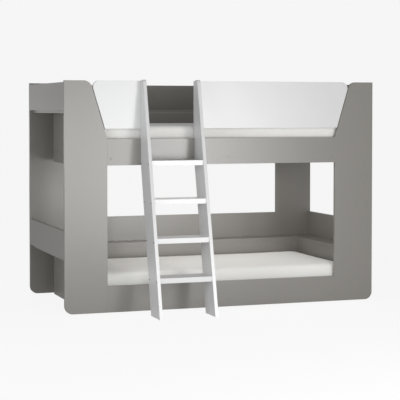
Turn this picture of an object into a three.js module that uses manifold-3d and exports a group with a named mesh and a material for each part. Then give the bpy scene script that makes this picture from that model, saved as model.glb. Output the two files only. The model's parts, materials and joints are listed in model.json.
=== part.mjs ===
// Bunk bed in lacquered board, with a fixed leaning ladder.
// Millimetres, +Z up, +X along the bed, -Y towards the side with the ladder.
// The origin is on the floor, at the middle of the footprint, ladder included.
// Inside the bed group, X runs from the left end and Y from the face of the front posts.
import * as THREE from 'three';
import { mergeVertices } from 'three/addons/utils/BufferGeometryUtils.js';
import Module from 'manifold-3d';

const wasm = await Module();
wasm.setup();

// Overall size
const BED_LENGTH = 2260;
const BED_DEPTH = 1104;
const BED_HEIGHT = 1556;
const BOARD = 22;
const GAP = 0.3;

// Posts
const POST_WIDTH = 294;
const POST_FOOT_RADIUS = 55;
const POST_SHOULDER_RADIUS = 60;
const TAPER = 0.3;

// Front rails, one to each bunk
const RAIL_HEIGHT = 178;
const UPPER_RAIL_BOTTOM = 988;
const LOWER_RAIL_BOTTOM = 0;
const CAP_HEIGHT = 46;
const CAP_RADIUS = 6.5;
const CAP_THICKNESS = 2;
const CAP_END_DISTANCE = 320;

// The well that holds each mattress stands this far inside the ends and the back
const WELL_INSET = 172;
const LOWER_WELL_BOTTOM = 8;
const UPPER_WELL_BOTTOM = 980;
const UPPER_LIFT = 990;
const LEDGE_TOP = 370;
const END_BOARD_BOTTOM = 367;
const END_BOARD_TOP = 555;

// Mattress base
const BATTEN_BOTTOM = 57;
const BATTEN_TOP = 85;
const CROSS_RAIL_X = 1160;
const CROSS_RAIL_BOTTOM = 15;
const SLAT_COUNT = 14;
const SLAT_WIDTH = 70;
const SLAT_THICKNESS = 18;
const SLAT_END_MARGIN = 13;
const SLAT_LENGTH = 890;
const TAPE_WIDTH = 25;
const TAPE_THICKNESS = 1.5;
const TAPE_INSET = 130;

// Mattress
const MATTRESS_LENGTH = 1900;
const MATTRESS_WIDTH = 900;
const MATTRESS_THICKNESS = 160;
const MATTRESS_BOTTOM = 105;
const MATTRESS_CORNER_RADIUS = 60;
const MATTRESS_EDGE_RADIUS = 24;

// Guard panels above the upper front rail
const GUARD_BOTTOM = 1234;
const GUARD_SLOT = 5;
const GUARD_SHOULDER_RADIUS = 45;
const GUARD_BLOCK_WIDTH = 22;
const PLATE_LENGTH = 140;
const PLATE_HEIGHT = 60;
const PLATE_THICKNESS = 3;
const PLATE_X = 145;
const PLATE_BOTTOM = 1400;

// Ladder
const LADDER_X = 528;
const LADDER_WIDTH = 405;
const LADDER_TOP = 1562;
const LADDER_REACH = 418;
const LADDER_HEEL = 228;
const LADDER_KNEE = 990;
const LADDER_HEAD_DEPTH = 55;
const LADDER_HEAD_RADIUS = 18;
const TREAD_TOPS = [261, 515, 769, 1023];
const TREAD_THICKNESS = 34;
const TREAD_DEPTH = 174;
const TREAD_SETBACK = 3;
const LADDER_BOLT_HEIGHTS = { rail: 1125, guard: 1400 };
const BOLT_RADIUS = 3.5;
const BOLT_HEAD_RADIUS = 8;
const BOLT_HEAD_THICKNESS = 4;
const BOLT_DEPTH = 35;
const BOLT_CLEARANCE = 0.3;

// Facets of the round shapes
const ROUND_SEGMENTS = 24;
const CORNER_SEGMENTS = 8;
const MATTRESS_CORNER_SEGMENTS = 6;
const MATTRESS_EDGE_SEGMENTS = 4;

// Places that follow from the driving dimensions
const WELL_BACK = BED_DEPTH - WELL_INSET;
const WELL_MIDDLE = (BOARD + WELL_BACK) / 2;
const LADDER_SLOPE = (LADDER_REACH - LADDER_HEAD_DEPTH) / LADDER_TOP;
const BUNKS = [
  { name: 'lower', lift: 0, railBottom: LOWER_RAIL_BOTTOM, wellBottom: LOWER_WELL_BOTTOM },
  { name: 'upper', lift: UPPER_LIFT, railBottom: UPPER_RAIL_BOTTOM, wellBottom: UPPER_WELL_BOTTOM },
];
const ENDS = [
  { name: 'left', span: (near, far) => [near, far] },
  { name: 'right', span: (near, far) => [BED_LENGTH - far, BED_LENGTH - near] },
];
const STILES = [
  { name: 'left', x: LADDER_X },
  { name: 'right', x: LADDER_X + LADDER_WIDTH - BOARD },
];

const FINISHES = {
  grey: { color: 0x8f8c86, roughness: 0.38, metalness: 0 },
  white: { color: 0xefefee, roughness: 0.35, metalness: 0 },
  pine: { color: 0xd8bd90, roughness: 0.6, metalness: 0 },
  tape: { color: 0xe6e0d2, roughness: 0.9, metalness: 0 },
  ticking: { color: 0xe9e8e3, roughness: 0.95, metalness: 0 },
  cap: { color: 0x77746e, roughness: 0.5, metalness: 0 },
  steel: { color: 0x9a9a9c, roughness: 0.35, metalness: 0.9 },
};

const bed = new THREE.Group();
bed.position.set(-BED_LENGTH / 2, (LADDER_REACH - BED_DEPTH) / 2, 0);

function addPiece(name, finish, geometry, x, y, z) {
  const mesh = new THREE.Mesh(geometry, new THREE.MeshStandardMaterial(FINISHES[finish]));
  mesh.name = name;
  mesh.position.set(x, y, z);
  bed.add(mesh);
}

// A plain board or block, given by its extent along each axis
function addBlock(name, finish, [x0, x1], [y0, y1], [z0, z1]) {
  const geometry = new THREE.BoxGeometry(x1 - x0, y1 - y0, z1 - z0);
  addPiece(name, finish, geometry, (x0 + x1) / 2, (y0 + y1) / 2, (z0 + z1) / 2);
}

// A counter-clockwise outline of [x, y, radius] corners, each rounded by an arc.
// It starts at the first rounded corner, if there is one.
function roundedShape(corners) {
  const first = Math.max(0, corners.findIndex(([, , radius]) => radius > 0));
  const ordered = [...corners.slice(first), ...corners.slice(0, first)];
  const shape = new THREE.Shape();
  ordered.forEach(([x, y, radius], index) => {
    if (radius === 0) {
      if (index === 0) shape.moveTo(x, y);
      else shape.lineTo(x, y);
      return;
    }
    const [backX, backY] = ordered.at(index - 1);
    const [aheadX, aheadY] = ordered[(index + 1) % ordered.length];
    const corner = new THREE.Vector2(x, y);
    const back = new THREE.Vector2(backX - x, backY - y).normalize();
    const ahead = new THREE.Vector2(aheadX - x, aheadY - y).normalize();
    const halfAngle = Math.acos(back.dot(ahead)) / 2;
    const reach = radius / Math.tan(halfAngle);
    const toCentre = back.clone().add(ahead).setLength(radius / Math.sin(halfAngle));
    const centre = corner.clone().add(toCentre);
    const start = corner.clone().addScaledVector(back, reach).sub(centre).angle();
    const end = corner.clone().addScaledVector(ahead, reach).sub(centre).angle();
    shape.absarc(centre.x, centre.y, radius, start, end, false);
  });
  return shape;
}

function mirrorCorners(corners) {
  return corners.map(([x, z, radius]) => [BED_LENGTH - x, z, radius]).reverse();
}

function extrude(corners, depth) {
  return new THREE.ExtrudeGeometry(roundedShape(corners), {
    depth,
    bevelEnabled: false,
    curveSegments: CORNER_SEGMENTS,
  });
}

// A board whose outline lies in the XZ plane, one board thick from Y = 0
function frontBoard(corners) {
  return extrude(corners, BOARD).rotateX(Math.PI / 2).translate(0, BOARD, 0);
}

// A board whose outline lies in the YZ plane, one board thick from X = 0
function sideBoard(corners) {
  return extrude(corners, BOARD).rotateX(Math.PI / 2).rotateZ(Math.PI / 2);
}

function toSolid(geometry) {
  const bare = new THREE.BufferGeometry();
  bare.setAttribute('position', geometry.getAttribute('position'));
  bare.setIndex(geometry.getIndex());
  const merged = mergeVertices(bare);
  return new wasm.Manifold(new wasm.Mesh({
    numProp: 3,
    vertProperties: Float32Array.from(merged.getAttribute('position').array),
    triVerts: Uint32Array.from(merged.getIndex().array),
  }));
}

function toGeometry(solid) {
  const mesh = solid.getMesh();
  const geometry = new THREE.BufferGeometry();
  geometry.setAttribute('position', new THREE.BufferAttribute(mesh.vertProperties, 3));
  geometry.setIndex(new THREE.BufferAttribute(mesh.triVerts, 1));
  geometry.computeVertexNormals();
  return geometry;
}

// Drills bolt holes along Y, from y0 to y1, at each of the heights
function drill(geometry, x, y0, y1, heights) {
  const radius = BOLT_RADIUS + BOLT_CLEARANCE;
  let solid = toSolid(geometry);
  for (const z of heights) {
    const bit = new THREE.CylinderGeometry(radius, radius, y1 - y0, ROUND_SEGMENTS);
    bit.translate(x, (y0 + y1) / 2, z);
    solid = solid.subtract(toSolid(bit));
  }
  return toGeometry(solid);
}

function addPosts() {
  const taperTop = POST_WIDTH - TAPER * (BED_HEIGHT - UPPER_RAIL_BOTTOM - RAIL_HEIGHT);
  const front = [
    [0, 0, POST_FOOT_RADIUS],
    [POST_WIDTH, 0, 0],
    [POST_WIDTH, UPPER_RAIL_BOTTOM + RAIL_HEIGHT, 0],
    [taperTop, BED_HEIGHT, POST_SHOULDER_RADIUS],
    [0, BED_HEIGHT, 0],
  ];
  const back = [
    [0, 0, POST_FOOT_RADIUS],
    [POST_WIDTH, 0, 0],
    [POST_WIDTH, BED_HEIGHT, 0],
    [0, BED_HEIGHT, 0],
  ];
  for (const [row, corners, y] of [['front', front, 0], ['back', back, BED_DEPTH - BOARD]]) {
    addPiece(`post_${row}_left`, 'grey', frontBoard(corners), 0, y, 0);
    addPiece(`post_${row}_right`, 'grey', frontBoard(mirrorCorners(corners)), 0, y, 0);
  }
}

function addFrontRail(bunk) {
  const z = bunk.railBottom;
  const corners = [
    [POST_WIDTH + GAP, z, 0],
    [BED_LENGTH - POST_WIDTH - GAP, z, 0],
    [BED_LENGTH - POST_WIDTH - GAP, z + RAIL_HEIGHT, 0],
    [POST_WIDTH + GAP, z + RAIL_HEIGHT, 0],
  ];
  let rail = frontBoard(corners);
  if (bunk.name === 'upper') {
    for (const stile of STILES) {
      rail = drill(rail, stile.x + BOARD / 2, -BOARD, 2 * BOARD, [LADDER_BOLT_HEIGHTS.rail]);
    }
  }
  addPiece(`front_rail_${bunk.name}`, 'grey', rail, 0, 0, 0);

  const capPlaces = { left: CAP_END_DISTANCE, middle: CROSS_RAIL_X, right: BED_LENGTH - CAP_END_DISTANCE };
  for (const [place, x] of Object.entries(capPlaces)) {
    const cap = new THREE.CylinderGeometry(CAP_RADIUS, CAP_RADIUS, CAP_THICKNESS, ROUND_SEGMENTS);
    addPiece(`rail_cap_${bunk.name}_${place}`, 'cap', cap, x, -GAP - CAP_THICKNESS / 2, z + CAP_HEIGHT);
  }
}

// Outer boards close the ends and the back above each ledge
function addOuterBoards(bunk) {
  const height = [END_BOARD_BOTTOM + bunk.lift, END_BOARD_TOP + bunk.lift];
  const betweenPosts = [BOARD + GAP, BED_DEPTH - BOARD - GAP];
  for (const end of ENDS) {
    addBlock(`outer_board_${bunk.name}_${end.name}`, 'grey', end.span(0, BOARD), betweenPosts, height);
  }
  const length = [POST_WIDTH + GAP, BED_LENGTH - POST_WIDTH - GAP];
  addBlock(`outer_board_${bunk.name}_back`, 'grey', length, [BED_DEPTH - BOARD, BED_DEPTH], height);
}

// Inner boards make the well; ledges join their tops to the outer boards and posts
function addWell(bunk) {
  const ledgeTop = LEDGE_TOP + bunk.lift;
  const ledgeHeight = [ledgeTop - BOARD, ledgeTop];
  const wallHeight = [bunk.wellBottom, ledgeTop - BOARD - GAP];
  const alongEnd = [BOARD + GAP, WELL_BACK - GAP];
  const outerFace = WELL_INSET - BOARD;
  for (const end of ENDS) {
    const wallWidth = end.span(outerFace, WELL_INSET);
    const ledgeWidth = end.span(BOARD + GAP, WELL_INSET);
    addBlock(`well_board_${bunk.name}_${end.name}`, 'grey', wallWidth, alongEnd, wallHeight);
    addBlock(`ledge_${bunk.name}_${end.name}`, 'grey', ledgeWidth, alongEnd, ledgeHeight);
  }
  const wallLength = [outerFace, BED_LENGTH - outerFace];
  addBlock(`well_board_${bunk.name}_back`, 'grey', wallLength, [WELL_BACK, WELL_BACK + BOARD], wallHeight);
  const ledgeLength = [BOARD + GAP, BED_LENGTH - BOARD - GAP];
  const ledgeDepth = [WELL_BACK, BED_DEPTH - BOARD - GAP];
  addBlock(`ledge_${bunk.name}_back`, 'grey', ledgeLength, ledgeDepth, ledgeHeight);
}

// A roll of slats held by two tapes: one piece, laid on the battens
function slatRoll() {
  const pitch = (MATTRESS_LENGTH - 2 * SLAT_END_MARGIN - SLAT_WIDTH) / (SLAT_COUNT - 1);
  const rollLength = pitch * (SLAT_COUNT - 1) + SLAT_WIDTH;
  let roll = null;
  for (let index = 0; index < SLAT_COUNT; index += 1) {
    const slat = new THREE.BoxGeometry(SLAT_WIDTH, SLAT_LENGTH, SLAT_THICKNESS);
    slat.translate((index - (SLAT_COUNT - 1) / 2) * pitch, 0, SLAT_THICKNESS / 2);
    roll = roll ? roll.add(toSolid(slat)) : toSolid(slat);
  }
  for (const side of [-1, 1]) {
    const tape = new THREE.BoxGeometry(rollLength, TAPE_WIDTH, TAPE_THICKNESS);
    tape.translate(0, side * (SLAT_LENGTH / 2 - TAPE_INSET), SLAT_THICKNESS);
    roll = roll.add(toSolid(tape));
  }
  return toGeometry(roll);
}

function addMattressBase(bunk) {
  const battenHeight = [BATTEN_BOTTOM + bunk.lift, BATTEN_TOP + bunk.lift];
  const battenLength = [WELL_INSET + GAP, BED_LENGTH - WELL_INSET - GAP];
  const front = [BOARD + GAP, 2 * BOARD];
  const back = [WELL_BACK - BOARD, WELL_BACK - GAP];
  addBlock(`batten_${bunk.name}_front`, 'pine', battenLength, front, battenHeight);
  addBlock(`batten_${bunk.name}_back`, 'pine', battenLength, back, battenHeight);

  const crossWidth = [CROSS_RAIL_X - BOARD / 2, CROSS_RAIL_X + BOARD / 2];
  const crossLength = [front[1] + GAP, back[0] - GAP];
  const crossHeight = [CROSS_RAIL_BOTTOM + bunk.lift, BATTEN_TOP + bunk.lift];
  addBlock(`cross_rail_${bunk.name}`, 'pine', crossWidth, crossLength, crossHeight);

  const slatBottom = BATTEN_TOP + bunk.lift + GAP;
  addPiece(`slat_roll_${bunk.name}`, 'pine', slatRoll(), BED_LENGTH / 2, WELL_MIDDLE, slatBottom);
}

function addMattress(bunk) {
  const halfLength = MATTRESS_LENGTH / 2;
  const halfWidth = MATTRESS_WIDTH / 2;
  const outline = roundedShape([
    [-halfLength, -halfWidth, MATTRESS_CORNER_RADIUS],
    [halfLength, -halfWidth, MATTRESS_CORNER_RADIUS],
    [halfLength, halfWidth, MATTRESS_CORNER_RADIUS],
    [-halfLength, halfWidth, MATTRESS_CORNER_RADIUS],
  ]);
  const geometry = new THREE.ExtrudeGeometry(outline, {
    depth: MATTRESS_THICKNESS - 2 * MATTRESS_EDGE_RADIUS,
    bevelThickness: MATTRESS_EDGE_RADIUS,
    bevelSize: MATTRESS_EDGE_RADIUS,
    bevelOffset: -MATTRESS_EDGE_RADIUS,
    bevelSegments: MATTRESS_EDGE_SEGMENTS,
    curveSegments: MATTRESS_CORNER_SEGMENTS,
  });
  const z = MATTRESS_BOTTOM + bunk.lift + MATTRESS_EDGE_RADIUS;
  addPiece(`mattress_${bunk.name}`, 'ticking', geometry, BED_LENGTH / 2, WELL_MIDDLE, z);
}

// The outer edge of each guard panel runs beside the taper of the post
function guardCorners(innerX) {
  const taperX = (z) => POST_WIDTH + GUARD_SLOT - TAPER * (z - UPPER_RAIL_BOTTOM - RAIL_HEIGHT);
  return [
    [taperX(GUARD_BOTTOM), GUARD_BOTTOM, 0],
    [innerX, GUARD_BOTTOM, 0],
    [innerX, BED_HEIGHT, 0],
    [taperX(BED_HEIGHT), BED_HEIGHT, GUARD_SHOULDER_RADIUS],
  ];
}

function addGuards() {
  const leftInner = LADDER_X + BOARD;
  const rightInner = LADDER_X + LADDER_WIDTH - BOARD;
  const blockHeight = [UPPER_RAIL_BOTTOM + RAIL_HEIGHT + GAP, GUARD_BOTTOM - GAP];
  const sides = {
    left: { corners: guardCorners(leftInner), block: [leftInner - GUARD_BLOCK_WIDTH, leftInner] },
    right: {
      corners: mirrorCorners(guardCorners(BED_LENGTH - rightInner)),
      block: [rightInner, rightInner + GUARD_BLOCK_WIDTH],
    },
  };
  for (const [index, end] of ENDS.entries()) {
    const { corners, block } = sides[end.name];
    const boltX = STILES[index].x + BOARD / 2;
    const panel = drill(frontBoard(corners), boltX, -BOARD, 2 * BOARD, [LADDER_BOLT_HEIGHTS.guard]);
    addPiece(`guard_panel_${end.name}`, 'white', panel, 0, 0, 0);
    addBlock(`guard_block_${end.name}`, 'white', block, [0, BOARD], blockHeight);
    const plateLength = end.span(PLATE_X, PLATE_X + PLATE_LENGTH);
    const plateDepth = [BOARD + GAP, BOARD + GAP + PLATE_THICKNESS];
    const plateHeight = [PLATE_BOTTOM, PLATE_BOTTOM + PLATE_HEIGHT];
    addBlock(`guard_plate_${end.name}`, 'steel', plateLength, plateDepth, plateHeight);
  }
}

function ladderFrontY(z) {
  return -LADDER_REACH + LADDER_SLOPE * z;
}

function ladderBolt() {
  const headBase = BOARD + GAP;
  return new THREE.LatheGeometry([
    new THREE.Vector2(0, -BOLT_DEPTH),
    new THREE.Vector2(BOLT_RADIUS, -BOLT_DEPTH),
    new THREE.Vector2(BOLT_RADIUS, headBase),
    new THREE.Vector2(BOLT_HEAD_RADIUS, headBase),
    new THREE.Vector2(BOLT_HEAD_RADIUS, headBase + BOLT_HEAD_THICKNESS),
    new THREE.Vector2(0, headBase + BOLT_HEAD_THICKNESS),
  ], ROUND_SEGMENTS);
}

// Stiles lean from the floor to the knee, then stand flat against the bed to the top
function addLadder() {
  const profile = [
    [-LADDER_REACH, 0, 0],
    [-LADDER_HEEL, 0, 0],
    [-GAP, LADDER_KNEE, 0],
    [-GAP, LADDER_TOP, LADDER_HEAD_RADIUS],
    [-LADDER_HEAD_DEPTH, LADDER_TOP, LADDER_HEAD_RADIUS],
  ];
  for (const stile of STILES) {
    const heights = Object.values(LADDER_BOLT_HEIGHTS);
    const blank = drill(sideBoard(profile), BOARD / 2, -BOLT_DEPTH - BOLT_CLEARANCE, BOARD, heights);
    addPiece(`ladder_stile_${stile.name}`, 'white', blank, stile.x, 0, 0);
    for (const [place, z] of Object.entries(LADDER_BOLT_HEIGHTS)) {
      addPiece(`ladder_bolt_${stile.name}_${place}`, 'steel', ladderBolt(), stile.x + BOARD / 2, 0, z);
    }
  }
  const width = [LADDER_X + BOARD + GAP, LADDER_X + LADDER_WIDTH - BOARD - GAP];
  TREAD_TOPS.forEach((top, index) => {
    const frontY = ladderFrontY(top) + TREAD_SETBACK;
    const height = [top - TREAD_THICKNESS, top];
    addBlock(`ladder_tread_${index + 1}`, 'white', width, [frontY, frontY + TREAD_DEPTH], height);
  });
}

addPosts();
for (const bunk of BUNKS) {
  addFrontRail(bunk);
  addOuterBoards(bunk);
  addWell(bunk);
  addMattressBase(bunk);
  addMattress(bunk);
}
addGuards();
addLadder();

const part = new THREE.Group();
part.add(bed);

export default part;
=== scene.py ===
"""Looks for the bunk bed: materials, mattresses, screws, a studio and the camera.

Units are metres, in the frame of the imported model: +X along the bed, -Y towards the ladder,
+Z up, with the origin on the floor at the middle of the footprint.
"""

import json
import math

import bmesh
import bpy
import numpy as np
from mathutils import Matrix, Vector


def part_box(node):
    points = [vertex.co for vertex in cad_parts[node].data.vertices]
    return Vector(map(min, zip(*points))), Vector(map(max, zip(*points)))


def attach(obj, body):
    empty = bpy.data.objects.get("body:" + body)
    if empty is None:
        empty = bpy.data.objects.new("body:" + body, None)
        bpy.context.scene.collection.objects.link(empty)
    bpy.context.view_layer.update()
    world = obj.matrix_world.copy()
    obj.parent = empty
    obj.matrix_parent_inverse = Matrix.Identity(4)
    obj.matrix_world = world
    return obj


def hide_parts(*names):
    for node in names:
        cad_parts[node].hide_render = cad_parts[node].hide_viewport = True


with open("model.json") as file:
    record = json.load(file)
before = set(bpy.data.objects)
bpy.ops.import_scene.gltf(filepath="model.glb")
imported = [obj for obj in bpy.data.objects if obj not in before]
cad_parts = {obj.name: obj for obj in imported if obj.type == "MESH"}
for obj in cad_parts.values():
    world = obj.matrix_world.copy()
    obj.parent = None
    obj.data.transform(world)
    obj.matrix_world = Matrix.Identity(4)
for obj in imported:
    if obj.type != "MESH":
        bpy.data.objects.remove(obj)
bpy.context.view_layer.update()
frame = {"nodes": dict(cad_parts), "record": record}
nodes = frame["nodes"]

# Camera, a little lower than the top of the bed and to the left of it
CAMERA_LOCATION = (-3.192, -8.897, 1.361)
CAMERA_YAW = 19.4
CAMERA_PITCH = 2.0
CAMERA_LENS = 119.3
CAMERA_SHIFT_Y = -0.110
CAMERA_REACH = 500.0

# Lacquer: main tone, drifting tone and rubbed tone
GREY_TONES = ((0.213, 0.201, 0.183, 1), (0.218, 0.206, 0.188, 1), (0.27, 0.256, 0.235, 1))
WHITE_TONES = ((0.66, 0.66, 0.658, 1), (0.68, 0.68, 0.678, 1), (0.62, 0.615, 0.60, 1))
LACQUER_ROUGHNESS = (0.295, 0.33)
LACQUER_SPECULAR = 1.0
DRIFT_SCALE = 1.7
HANDLING_SCALE = 2.2
HANDLING_SPREAD = (0.1, 0.9)
PEEL_SCALE = 260.0
PEEL_STRENGTH = 0.015
PEEL_DEPTH = 0.0001

# Rubbed edges: how far from an edge, how sharp a turn counts, and the patches along it
WEAR_REACH = 0.0025
WEAR_SAMPLES = 4
WEAR_TURN = (0.98, 0.85)
WEAR_PATCH_SCALE = 9.0
WEAR_PATCHES = (0.45, 0.62)

# Pine
PINE_LIGHT = (0.78, 0.62, 0.41, 1)
PINE_DARK = (0.60, 0.40, 0.21, 1)
PINE_FIBRE = (0.52, 0.35, 0.19, 1)
PINE_ROUGHNESS = 0.62
FIGURE_STRETCH = {"along": 0.9, "across": 14.0}
PINE_BEND_SCALE = 1.4
PINE_RING_SCALE = 1.1
PINE_FIGURE_SPREAD = (0.05, 0.5)
FIBRE_STRETCH = {"along": 5.0, "across": 160.0}
PINE_FIBRE_SCALE = 3.0
PINE_FIBRE_SPREAD = (0.35, 0.75)
PINE_FIBRE_SHARE = (0.0, 0.35)

# Mattress cover
CLOTH_LIGHT = (0.88, 0.875, 0.85, 1)
CLOTH_MID = (0.83, 0.825, 0.80, 1)
CLOTH_DULL = (0.80, 0.79, 0.76, 1)
CLOTH_ROUGHNESS = 0.92
CLOTH_SHEEN = 0.25
CLOTH_SHEEN_ROUGHNESS = 0.5
CLOTH_SPECULAR = 0.2
WEAVE_SCALE = 190.0
WEAVE_DISTORTION = 0.6
THREAD_SPREAD = (0.3, 1.5)
DULL_SCALE = 3.5
SLUB_STRETCH = (30, 240, 60)
SLUB_RELIEF = 0.8
DULL_SHARE = 0.25

# Steel and plastic
ZINC_TONES = ((0.50, 0.50, 0.51, 1), (0.66, 0.66, 0.67, 1))
SCREW_TONES = ((0.07, 0.07, 0.075, 1), (0.13, 0.13, 0.14, 1))
STEEL_ROUGHNESS = (0.28, 0.45)
STEEL_CLOUD_SCALE = 140.0
BRUSH_STRETCH = (900, 900, 60)
CAP_TONES = ((0.235, 0.223, 0.204, 1), (0.27, 0.257, 0.236, 1))
CAP_ROUGHNESS = 0.33
SPARK_SCALE = 900.0

# The part of a noise value's range where nearly all of it lies
NOISE_SPREAD = (0.3, 0.7)

# Edges of the boards and of the small parts
EDGE_RADIUS = 0.0008
SMALL_EDGE_RADIUS = 0.0002
EDGE_SEGMENTS = 3
WELD_DISTANCE = 0.00001
SHARP_ANGLE = math.radians(30)

# Mattresses
MATTRESS_VOXEL = 0.016
MATTRESS_START_INSET = 0.004
MATTRESS_CORNER_RADIUS = 0.055
MATTRESS_CORNER_STEPS = 8
MATTRESS_EDGE_RADIUS = 0.030
MATTRESS_EDGE_STEPS = 5
MATTRESS_PRESSURE = 4.0
MATTRESS_QUALITY = 5
MATTRESS_FRAMES = 20
MATTRESS_TOP_RISE = 0.008
MATTRESS_SIDE_RISE = 0.004
MATTRESS_CLEARANCE = 0.0006
LEVEL_TOLERANCE = 1e-6
RIM_ANGLE = 1.0
SMALLEST_MOVE = 1e-9

# Screws through the stiles into the treads, and through the ends of the upper well
SCREW_RADIUS = 0.0055
SCREW_PROUD = 0.0008
SCREW_STEPS = 20
SCREW_INSET = 0.008
SCREW_BELOW_TREAD = 0.025
WELL_SCREW_INSETS = (0.024, 0.108)
# Half section of a head, from the rim to the bottom of its recess, in shares of radius and height
SCREW_SECTION = [(1.0, 0.0), (1.0, 0.4), (0.86, 1.0), (0.6325, 1.0), (0.55, 0.2), (0.0, 0.1)]

# Backdrop and floor as the camera sees them, with the light that reaches the floor far away
BACKDROP = 0.92
FLOOR_REACH = 120.0
FLOOR_ROUGHNESS = 0.9
FLOOR_ALBEDO_SEEN = 0.08
FLOOR_LIGHT_FAR = 0.385

# Floor and room as they light the bed
FLOOR_ALBEDO_LIT = 0.5
FLOOR_GLOW = 0.18
HORIZON_GLOW = 0.60
SKY_GLOW = 0.40
SKY_HEIGHTS = (0.12, 0.30)
BACK_DIMMING = 0.7
BACK_DEPTHS = (0.0, 0.5)

# Softboxes in front: name, x, width, power
BANK_Y = -4.1
BANK_Z = 0.9
BANK_HEIGHT = 1.6
SOFTBOXES = [
    ("front_left", -1.1, 1.0, 17.0),
    ("front_middle", -0.025, 1.15, 16.0),
    ("key", 0.93, 0.65, 33.0),
    ("front_right", 1.62, 0.65, 9.0),
]
# Softboxes behind: name, x, z, size, power
REAR_Y = 3.5
REAR_BOXES = [
    ("rear_high", -1.5, 1.6, (0.5, 1.0), 1.2),
    ("rear_low", -1.9, 1.0, (0.5, 0.5), 1.1),
]
# Softbox at the front left
LEFT_PLACE = (-4.2, -2.4, 1.1)
LEFT_TARGET = (-0.8, -0.3, 0.7)
LEFT_SIZE = 1.6
LEFT_POWER = 46.0
LEFT_COLOR = (0.94, 0.97, 1.0)
# Fill between the bunks, moved to the right of the mattress's middle
FILL_Z = 0.955
FILL_RIGHT = 0.15
FILL_SIZE = (1.5, 0.8)
FILL_POWER = 4.4


# ---------------------------------------------------------------- node helpers

def feed(tree, socket, value):
    """Sets an input socket to a value, or links it to an output socket."""
    if isinstance(value, bpy.types.NodeSocket):
        tree.links.new(value, socket)
    else:
        socket.default_value = value


def add_node(tree, kind, inputs=None, **settings):
    """A shader node with its settings, and its inputs set to values or linked to sockets."""
    node = tree.nodes.new(kind)
    for name, value in settings.items():
        setattr(node, name, value)
    for name, value in (inputs or {}).items():
        feed(tree, node.inputs[name], value)
    return node


def new_material(name):
    """A material with its tree and its principled shader."""
    material = bpy.data.materials.new(name)
    material.use_nodes = True
    tree = material.node_tree
    return material, tree, tree.nodes["Principled BSDF"]


def place_texture(tree, scale=(1, 1, 1)):
    """Coordinates in metres in the frame of the object, stretched by scale."""
    coordinates = add_node(tree, "ShaderNodeTexCoord").outputs["Object"]
    mapping = add_node(tree, "ShaderNodeMapping", {"Vector": coordinates, "Scale": scale})
    return mapping.outputs["Vector"]


def noise(tree, vector, scale, detail=2.0, roughness=0.5):
    """Noise from 0 to 1."""
    inputs = {"Vector": vector, "Scale": scale, "Detail": detail, "Roughness": roughness}
    return add_node(tree, "ShaderNodeTexNoise", inputs).outputs["Fac"]


def remap(tree, value, source, target=(0.0, 1.0)):
    """Value moved from one range to another, and held inside it."""
    inputs = {
        "Value": value,
        "From Min": source[0],
        "From Max": source[1],
        "To Min": target[0],
        "To Max": target[1],
    }
    return add_node(tree, "ShaderNodeMapRange", inputs).outputs["Result"]


def mix_colors(tree, factor, first, second):
    """Two colours mixed by a factor."""
    node = add_node(tree, "ShaderNodeMix", data_type="RGBA")
    sockets = [s for s in node.inputs if s.enabled]
    for socket, value in zip(sockets, (factor, first, second)):
        feed(tree, socket, value)
    return next(s for s in node.outputs if s.enabled)


def math_node(tree, operation, first, second):
    """One arithmetic step on two values."""
    node = add_node(tree, "ShaderNodeMath", {0: first, 1: second}, operation=operation)
    return node.outputs["Value"]


def add_bump(tree, shader, height, strength, distance):
    """Surface relief from a height value."""
    inputs = {"Height": height, "Strength": strength, "Distance": distance}
    bump = add_node(tree, "ShaderNodeBump", inputs)
    tree.links.new(bump.outputs["Normal"], shader.inputs["Normal"])


def edge_wear(tree):
    """1 along the rubbed stretches of the edges, 0 on the flat faces."""
    rounded = add_node(tree, "ShaderNodeBevel", {"Radius": WEAR_REACH}, samples=WEAR_SAMPLES)
    straight = add_node(tree, "ShaderNodeNewGeometry")
    normals = {0: rounded.outputs["Normal"], 1: straight.outputs["Normal"]}
    turn = add_node(tree, "ShaderNodeVectorMath", normals, operation="DOT_PRODUCT")
    edges = remap(tree, turn.outputs["Value"], WEAR_TURN)
    blotches = noise(tree, place_texture(tree), WEAR_PATCH_SCALE, detail=4.0, roughness=0.7)
    patches = remap(tree, blotches, WEAR_PATCHES)
    return math_node(tree, "MULTIPLY", edges, patches)


# ---------------------------------------------------------------- materials

def lacquer(name, tones):
    """Sprayed lacquer on fibreboard: faint orange peel, faint drift of tone, rubbed edges."""
    material, tree, shader = new_material(name)
    main, drifting, rubbed = tones
    drift = remap(tree, noise(tree, place_texture(tree), DRIFT_SCALE, detail=3.0), NOISE_SPREAD)
    tone = mix_colors(tree, drift, main, drifting)
    feed(tree, shader.inputs["Base Color"], mix_colors(tree, edge_wear(tree), tone, rubbed))
    handling = noise(tree, place_texture(tree), HANDLING_SCALE, detail=1.0)
    feed(tree, shader.inputs["Roughness"], remap(tree, handling, HANDLING_SPREAD, LACQUER_ROUGHNESS))
    shader.inputs["Specular IOR Level"].default_value = LACQUER_SPECULAR
    peel = noise(tree, place_texture(tree), PEEL_SCALE, detail=1.0)
    add_bump(tree, shader, peel, PEEL_STRENGTH, PEEL_DEPTH)
    return material


def grain_scale(grain_axis, along, across):
    """A texture scale with one value along the grain and another across it."""
    scale = [across] * 3
    scale[grain_axis] = along
    return scale


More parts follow.
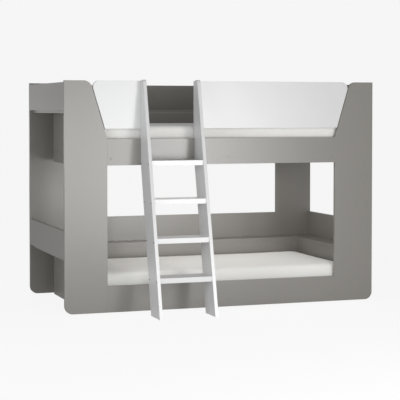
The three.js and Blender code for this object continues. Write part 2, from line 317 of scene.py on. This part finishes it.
def pine(name, grain_axis):
    """Planed pine with its grain along one axis of the frame."""
    material, tree, shader = new_material(name)
    vector = place_texture(tree, grain_scale(grain_axis, **FIGURE_STRETCH))
    bend = noise(tree, vector, PINE_BEND_SCALE, detail=3.0, roughness=0.6)
    rings = add_node(tree, "ShaderNodeTexWave", {
        "Vector": vector,
        "Scale": PINE_RING_SCALE,
        "Distortion": 7.0,
        "Detail": 3.0,
        "Detail Scale": 1.6,
    }).outputs["Fac"]
    figure = remap(tree, math_node(tree, "MULTIPLY", rings, bend), PINE_FIGURE_SPREAD)
    color = mix_colors(tree, figure, PINE_LIGHT, PINE_DARK)
    fibre_place = place_texture(tree, grain_scale(grain_axis, **FIBRE_STRETCH))
    fibre = noise(tree, fibre_place, PINE_FIBRE_SCALE, detail=3.0)
    streaks = remap(tree, fibre, PINE_FIBRE_SPREAD, PINE_FIBRE_SHARE)
    feed(tree, shader.inputs["Base Color"], mix_colors(tree, streaks, color, PINE_FIBRE))
    shader.inputs["Roughness"].default_value = PINE_ROUGHNESS
    add_bump(tree, shader, fibre, strength=0.25, distance=0.0006)
    return material


def threads(tree, vector, direction):
    """Parallel threads of the weave."""
    inputs = {"Vector": vector, "Scale": WEAVE_SCALE, "Distortion": WEAVE_DISTORTION}
    return add_node(tree, "ShaderNodeTexWave", inputs, bands_direction=direction).outputs["Fac"]


def ticking():
    """Plain woven cotton cover, slightly slubbed."""
    material, tree, shader = new_material("mattress_ticking")
    vector = place_texture(tree)
    weave = math_node(tree, "MULTIPLY", threads(tree, vector, "X"), threads(tree, vector, "Y"))
    slub = noise(tree, place_texture(tree, SLUB_STRETCH), 1.0)
    shade = remap(tree, math_node(tree, "ADD", weave, slub), THREAD_SPREAD)
    broad = remap(tree, noise(tree, vector, DULL_SCALE, detail=3.0), NOISE_SPREAD)
    cloth = mix_colors(tree, shade, CLOTH_MID, CLOTH_LIGHT)
    dulled = math_node(tree, "MULTIPLY", broad, DULL_SHARE)
    feed(tree, shader.inputs["Base Color"], mix_colors(tree, dulled, cloth, CLOTH_DULL))
    shader.inputs["Roughness"].default_value = CLOTH_ROUGHNESS
    shader.inputs["Sheen Weight"].default_value = CLOTH_SHEEN
    shader.inputs["Sheen Roughness"].default_value = CLOTH_SHEEN_ROUGHNESS
    shader.inputs["Specular IOR Level"].default_value = CLOTH_SPECULAR
    relief = math_node(tree, "ADD", weave, math_node(tree, "MULTIPLY", slub, SLUB_RELIEF))
    add_bump(tree, shader, relief, strength=0.4, distance=0.0006)
    return material


def plated_steel(name, tones):
    """Plated steel with a cloudy, slightly brushed surface."""
    material, tree, shader = new_material(name)
    dark, light = tones
    cloud = noise(tree, place_texture(tree), STEEL_CLOUD_SCALE, detail=4.0, roughness=0.6)
    tone = mix_colors(tree, remap(tree, cloud, NOISE_SPREAD), dark, light)
    feed(tree, shader.inputs["Base Color"], tone)
    feed(tree, shader.inputs["Roughness"], remap(tree, cloud, NOISE_SPREAD, STEEL_ROUGHNESS))
    shader.inputs["Metallic"].default_value = 1.0
    brushed = noise(tree, place_texture(tree, BRUSH_STRETCH), 1.0)
    add_bump(tree, shader, brushed, strength=0.1, distance=0.0002)
    return material


def moulded(name, tones):
    """Moulded plastic with a fine spark finish."""
    material, tree, shader = new_material(name)
    low, high = tones
    grain = noise(tree, place_texture(tree), SPARK_SCALE)
    feed(tree, shader.inputs["Base Color"], mix_colors(tree, grain, low, high))
    shader.inputs["Roughness"].default_value = CAP_ROUGHNESS
    add_bump(tree, shader, grain, strength=0.1, distance=0.0001)
    return material


PINE_ALONG = pine("pine_along", 0)
PINE_ACROSS = pine("pine_across", 1)
TICKING = ticking()
SCREW = plated_steel("screw_steel", SCREW_TONES)

SLOT_MATERIALS = {
    "grey_lacquer": lacquer("grey_lacquer", GREY_TONES),
    "white_lacquer": lacquer("white_lacquer", WHITE_TONES),
    "slat_timber": PINE_ALONG,
    "zinc_steel": plated_steel("zinc_steel", ZINC_TONES),
    "cap_plastic": moulded("cap_plastic", CAP_TONES),
    "mattress_ticking": TICKING,
}
slot_of = {row["node"]: row["material_slot"] for row in frame["record"]["subparts"]}


def set_material(obj, material):
    """Gives an object one material and no other."""
    obj.data.materials.clear()
    obj.data.materials.append(material)


def soften_edges(obj, radius):
    """Joins the split faces of a board and rounds its edges."""
    weld = obj.modifiers.new("weld", "WELD")
    weld.merge_threshold = WELD_DISTANCE
    bevel = obj.modifiers.new("edges", "BEVEL")
    bevel.width = radius
    bevel.segments = EDGE_SEGMENTS
    bevel.limit_method = "ANGLE"
    bevel.angle_limit = SHARP_ANGLE
    bevel.harden_normals = True


for name, node in nodes.items():
    across = name.startswith(("slat_roll", "cross_rail"))
    set_material(node, PINE_ACROSS if across else SLOT_MATERIALS[slot_of[name]])
    if name.startswith(("rail_cap", "ladder_bolt", "guard_plate", "slat_roll")):
        soften_edges(node, SMALL_EDGE_RADIUS)
    elif not name.startswith("mattress"):
        soften_edges(node, EDGE_RADIUS)


# ---------------------------------------------------------------- mattresses

def mesh_object(name, bm):
    """A new object in the scene from a bmesh, with smooth faces."""
    mesh = bpy.data.meshes.new(name)
    bmesh.ops.recalc_face_normals(bm, faces=bm.faces)
    bm.to_mesh(mesh)
    bm.free()
    mesh.polygons.foreach_set("use_smooth", [True] * len(mesh.polygons))
    obj = bpy.data.objects.new(name, mesh)
    bpy.context.scene.collection.objects.link(obj)
    return obj


def apply_modifiers(obj):
    """Replaces the mesh by what its modifiers make of it now."""
    graph = bpy.context.evaluated_depsgraph_get()
    mesh = bpy.data.meshes.new_from_object(obj.evaluated_get(graph))
    obj.modifiers.clear()
    obj.data = mesh


def points(obj):
    """The places of an object's vertices."""
    return np.array([vertex.co for vertex in obj.data.vertices])


def rise(edge):
    """How far the two ends of an edge are apart in height."""
    return abs(edge.verts[0].co.z - edge.verts[1].co.z)


def mattress_blank(name, low, high):
    """A block with rounded corners, ready to be blown up by the simulation."""
    bm = bmesh.new()
    size = high - low
    bmesh.ops.create_cube(bm, size=1.0)
    bmesh.ops.scale(bm, vec=size, verts=bm.verts)
    bmesh.ops.translate(bm, vec=(low + high) / 2, verts=bm.verts)
    upright = [e for e in bm.edges if rise(e) > size.z / 2]
    bmesh.ops.bevel(bm, geom=upright, offset=MATTRESS_CORNER_RADIUS, segments=MATTRESS_CORNER_STEPS,
                    profile=0.5, affect="EDGES")
    rims = [e for e in bm.edges if rise(e) < LEVEL_TOLERANCE and e.calc_face_angle(0) > RIM_ANGLE]
    bmesh.ops.bevel(bm, geom=rims, offset=MATTRESS_EDGE_RADIUS, segments=MATTRESS_EDGE_STEPS,
                    profile=0.5, affect="EDGES")
    return mesh_object(name, bm)


def inflate(obj):
    """Blows the cover up a little with Cloth, and keeps the result as the mesh."""
    cloth = obj.modifiers.new("cover", "CLOTH")
    settings = cloth.settings
    settings.use_pressure = True
    settings.uniform_pressure_force = MATTRESS_PRESSURE
    settings.effector_weights.gravity = 0
    settings.quality = MATTRESS_QUALITY
    scene = bpy.context.scene
    cloth.point_cache.frame_start = 1
    cloth.point_cache.frame_end = MATTRESS_FRAMES
    for step in range(1, MATTRESS_FRAMES + 1):
        scene.frame_set(step)
    apply_modifiers(obj)
    scene.frame_set(1)


def hold_growth(obj, start, low, high):
    """Keeps each point near its start, and inside the space of the mattress."""
    move = points(obj) - start
    length = np.linalg.norm(move, axis=1, keepdims=True)
    cap = MATTRESS_TOP_RISE + MATTRESS_START_INSET
    move *= np.minimum(1.0, cap / np.maximum(length, SMALLEST_MOVE))
    limits_low = np.array(low) + (-MATTRESS_SIDE_RISE, -MATTRESS_SIDE_RISE, MATTRESS_CLEARANCE)
    limits_high = np.array(high) + (MATTRESS_SIDE_RISE, MATTRESS_SIDE_RISE, MATTRESS_TOP_RISE)
    placed = np.clip(start + move, limits_low, limits_high)
    obj.data.vertices.foreach_set("co", placed.astype(np.float32).ravel())
    obj.data.update()


def make_mattress(node_name, body):
    """A crowned mattress that stands for one CAD block."""
    low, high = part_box(node_name)
    inset = Vector((MATTRESS_START_INSET,) * 3)
    obj = mattress_blank(node_name + "_cover", low + inset, high - inset)
    remesh = obj.modifiers.new("remesh", "REMESH")
    remesh.mode = "VOXEL"
    remesh.voxel_size = MATTRESS_VOXEL
    remesh.use_smooth_shade = True
    apply_modifiers(obj)
    start = points(obj)
    inflate(obj)
    hold_growth(obj, start, low, high)
    smooth = obj.modifiers.new("smooth", "SUBSURF")
    smooth.levels = 1
    smooth.render_levels = 1
    apply_modifiers(obj)
    obj.data.polygons.foreach_set("use_smooth", [True] * len(obj.data.polygons))
    set_material(obj, TICKING)
    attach(obj, body)
    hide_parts(node_name)


make_mattress("mattress_lower", "lower_mattress")
make_mattress("mattress_upper", "upper_mattress")


# ---------------------------------------------------------------- screws

def screw_ring(bm, centre, turn, radius, height):
    """The vertices of one ring of a head, or its single middle vertex when radius is 0."""
    steps = SCREW_STEPS if radius else 1
    ring = []
    for step in range(steps):
        angle = 2 * math.pi * step / steps
        point = Vector((radius * math.cos(angle), radius * math.sin(angle), height))
        ring.append(bm.verts.new(turn @ point + centre))
    return ring


def screw_head(bm, centre, outward):
    """A low domed disc with a round recess, on a face at centre."""
    turn = Vector((0, 0, 1)).rotation_difference(Vector(outward)).to_matrix()
    rings = [
        screw_ring(bm, centre, turn, share * SCREW_RADIUS, height * SCREW_PROUD)
        for share, height in SCREW_SECTION
    ]
    bm.faces.new(list(reversed(rings[0])))
    for outer, inner in zip(rings[:-1], rings[1:]):
        for step in range(SCREW_STEPS):
            after = (step + 1) % SCREW_STEPS
            if len(inner) == 1:
                bm.faces.new((outer[step], outer[after], inner[0]))
            else:
                bm.faces.new((outer[step], outer[after], inner[after], inner[step]))


def make_screws(name, places):
    """One piece made of the screw heads at (centre, outward) places, riding on the bed."""
    bm = bmesh.new()
    for centre, outward in places:
        screw_head(bm, Vector(centre), outward)
    obj = mesh_object(name, bm)
    set_material(obj, SCREW)
    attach(obj, "bed_frame")


def outer_face(node_name, side):
    """The x of the outer face of a board at one side of its set, and the way it faces."""
    low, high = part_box(node_name)
    return (low.x, (-1, 0, 0)) if side == "left" else (high.x, (1, 0, 0))


def tread_screw_places(side):
    """Two screws at the end of each tread, through the outer face of a stile."""
    face, outward = outer_face(f"ladder_stile_{side}", side)
    places = []
    for name in sorted(nodes):
        if name.startswith("ladder_tread"):
            low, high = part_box(name)
            height = high.z - SCREW_BELOW_TREAD
            for y in (low.y + SCREW_INSET, high.y - SCREW_INSET):
                places.append(((face, y, height), outward))
    return places


def well_screw_places(side):
    """Two screws at the height of the battens, near the back of an end board of the upper well."""
    board = f"well_board_upper_{side}"
    face, outward = outer_face(board, side)
    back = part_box(board)[1].y
    batten_low, batten_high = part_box("batten_upper_back")
    height = (batten_low.z + batten_high.z) / 2
    return [((face, back - inset, height), outward) for inset in WELL_SCREW_INSETS]


for side in ("left", "right"):
    make_screws(f"tread_screws_{side}", tread_screw_places(side))
    make_screws(f"well_screws_{side}", well_screw_places(side))


# ---------------------------------------------------------------- studio

def add_light(name, location, target, size, power, color=(1, 1, 1)):
    """A rectangular softbox at location, facing target."""
    data = bpy.data.lights.new(name, "AREA")
    data.shape = "RECTANGLE"
    data.size, data.size_y = size
    data.energy = power
    data.color = color
    obj = bpy.data.objects.new(name, data)
    obj.location = location
    obj.rotation_euler = (Vector(target) - Vector(location)).to_track_quat("-Z", "Y").to_euler()
    obj.visible_camera = False
    bpy.context.scene.collection.objects.link(obj)


def lit_and_seen(tree, lit, seen):
    """One value for the light that reaches the bed, another for the picture itself."""
    straight = add_node(tree, "ShaderNodeLightPath").outputs["Is Camera Ray"]
    return remap(tree, straight, (0.0, 1.0), (lit, seen))


def make_floor():
    """A pale floor that runs out of sight, with a faint shadow under the bed."""
    mesh = bpy.data.meshes.new("floor")
    corners = [(x * FLOOR_REACH, y * FLOOR_REACH, 0) for x, y in ((-1, -1), (1, -1), (1, 1), (-1, 1))]
    mesh.from_pydata(corners, [], [(0, 1, 2, 3)])
    floor = bpy.data.objects.new("floor", mesh)
    bpy.context.scene.collection.objects.link(floor)
    material, tree, shader = new_material("floor")
    feed(tree, shader.inputs["Base Color"], lit_and_seen(tree, FLOOR_ALBEDO_LIT, FLOOR_ALBEDO_SEEN))
    shader.inputs["Roughness"].default_value = FLOOR_ROUGHNESS
    shader.inputs["Specular IOR Level"].default_value = 0.0
    shader.inputs["Emission Color"].default_value = (1, 1, 1, 1)
    glow = lit_and_seen(tree, FLOOR_GLOW, BACKDROP - FLOOR_ALBEDO_SEEN * FLOOR_LIGHT_FAR)
    feed(tree, shader.inputs["Emission Strength"], glow)
    material.cycles.emission_sampling = "NONE"
    set_material(floor, material)


def make_world():
    """Soft room light: a bright band along the horizon, a dimmer sky and a dimmer back."""
    world = bpy.data.worlds.new("studio")
    world.use_nodes = True
    tree = world.node_tree
    direction = add_node(tree, "ShaderNodeTexCoord").outputs["Generated"]
    axes = add_node(tree, "ShaderNodeSeparateXYZ", {"Vector": direction})
    sky = remap(tree, axes.outputs["Z"], SKY_HEIGHTS, (HORIZON_GLOW, SKY_GLOW))
    dimming = remap(tree, axes.outputs["Y"], BACK_DEPTHS, (1.0, BACK_DIMMING))
    glow = math_node(tree, "MULTIPLY", sky, dimming)
    background = tree.nodes["Background"]
    feed(tree, background.inputs["Strength"], lit_and_seen(tree, glow, BACKDROP))
    background.inputs["Color"].default_value = (1, 1, 1, 1)
    bpy.context.scene.world = world


def make_lights():
    """Softboxes in front, at the front left and at the rear left, and a fill between the bunks."""
    for name, x, width, power in SOFTBOXES:
        add_light(name, (x, BANK_Y, BANK_Z), (x, 0.0, BANK_Z), (width, BANK_HEIGHT), power)
    add_light("left", LEFT_PLACE, LEFT_TARGET, (LEFT_SIZE, LEFT_SIZE), LEFT_POWER, LEFT_COLOR)
    for name, x, z, size, power in REAR_BOXES:
        add_light(name, (x, REAR_Y, z), (x, 0.0, z), size, power)
    low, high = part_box("mattress_lower")
    middle = (low + high) / 2
    place = (middle.x + FILL_RIGHT, middle.y, FILL_Z)
    add_light("bunk_fill", place, (place[0], place[1], 0.0), FILL_SIZE, FILL_POWER)


def make_camera():
    """The photograph's view."""
    data = bpy.data.cameras.new("camera")
    data.lens = CAMERA_LENS
    data.shift_y = CAMERA_SHIFT_Y
    data.clip_end = CAMERA_REACH
    camera = bpy.data.objects.new("camera", data)
    camera.location = CAMERA_LOCATION
    camera.rotation_euler = (math.radians(90 - CAMERA_PITCH), 0, -math.radians(CAMERA_YAW))
    bpy.context.scene.collection.objects.link(camera)
    bpy.context.scene.camera = camera


make_floor()
make_world()
make_camera()
make_lights()
bpy.context.scene.view_settings.view_transform = "Standard"
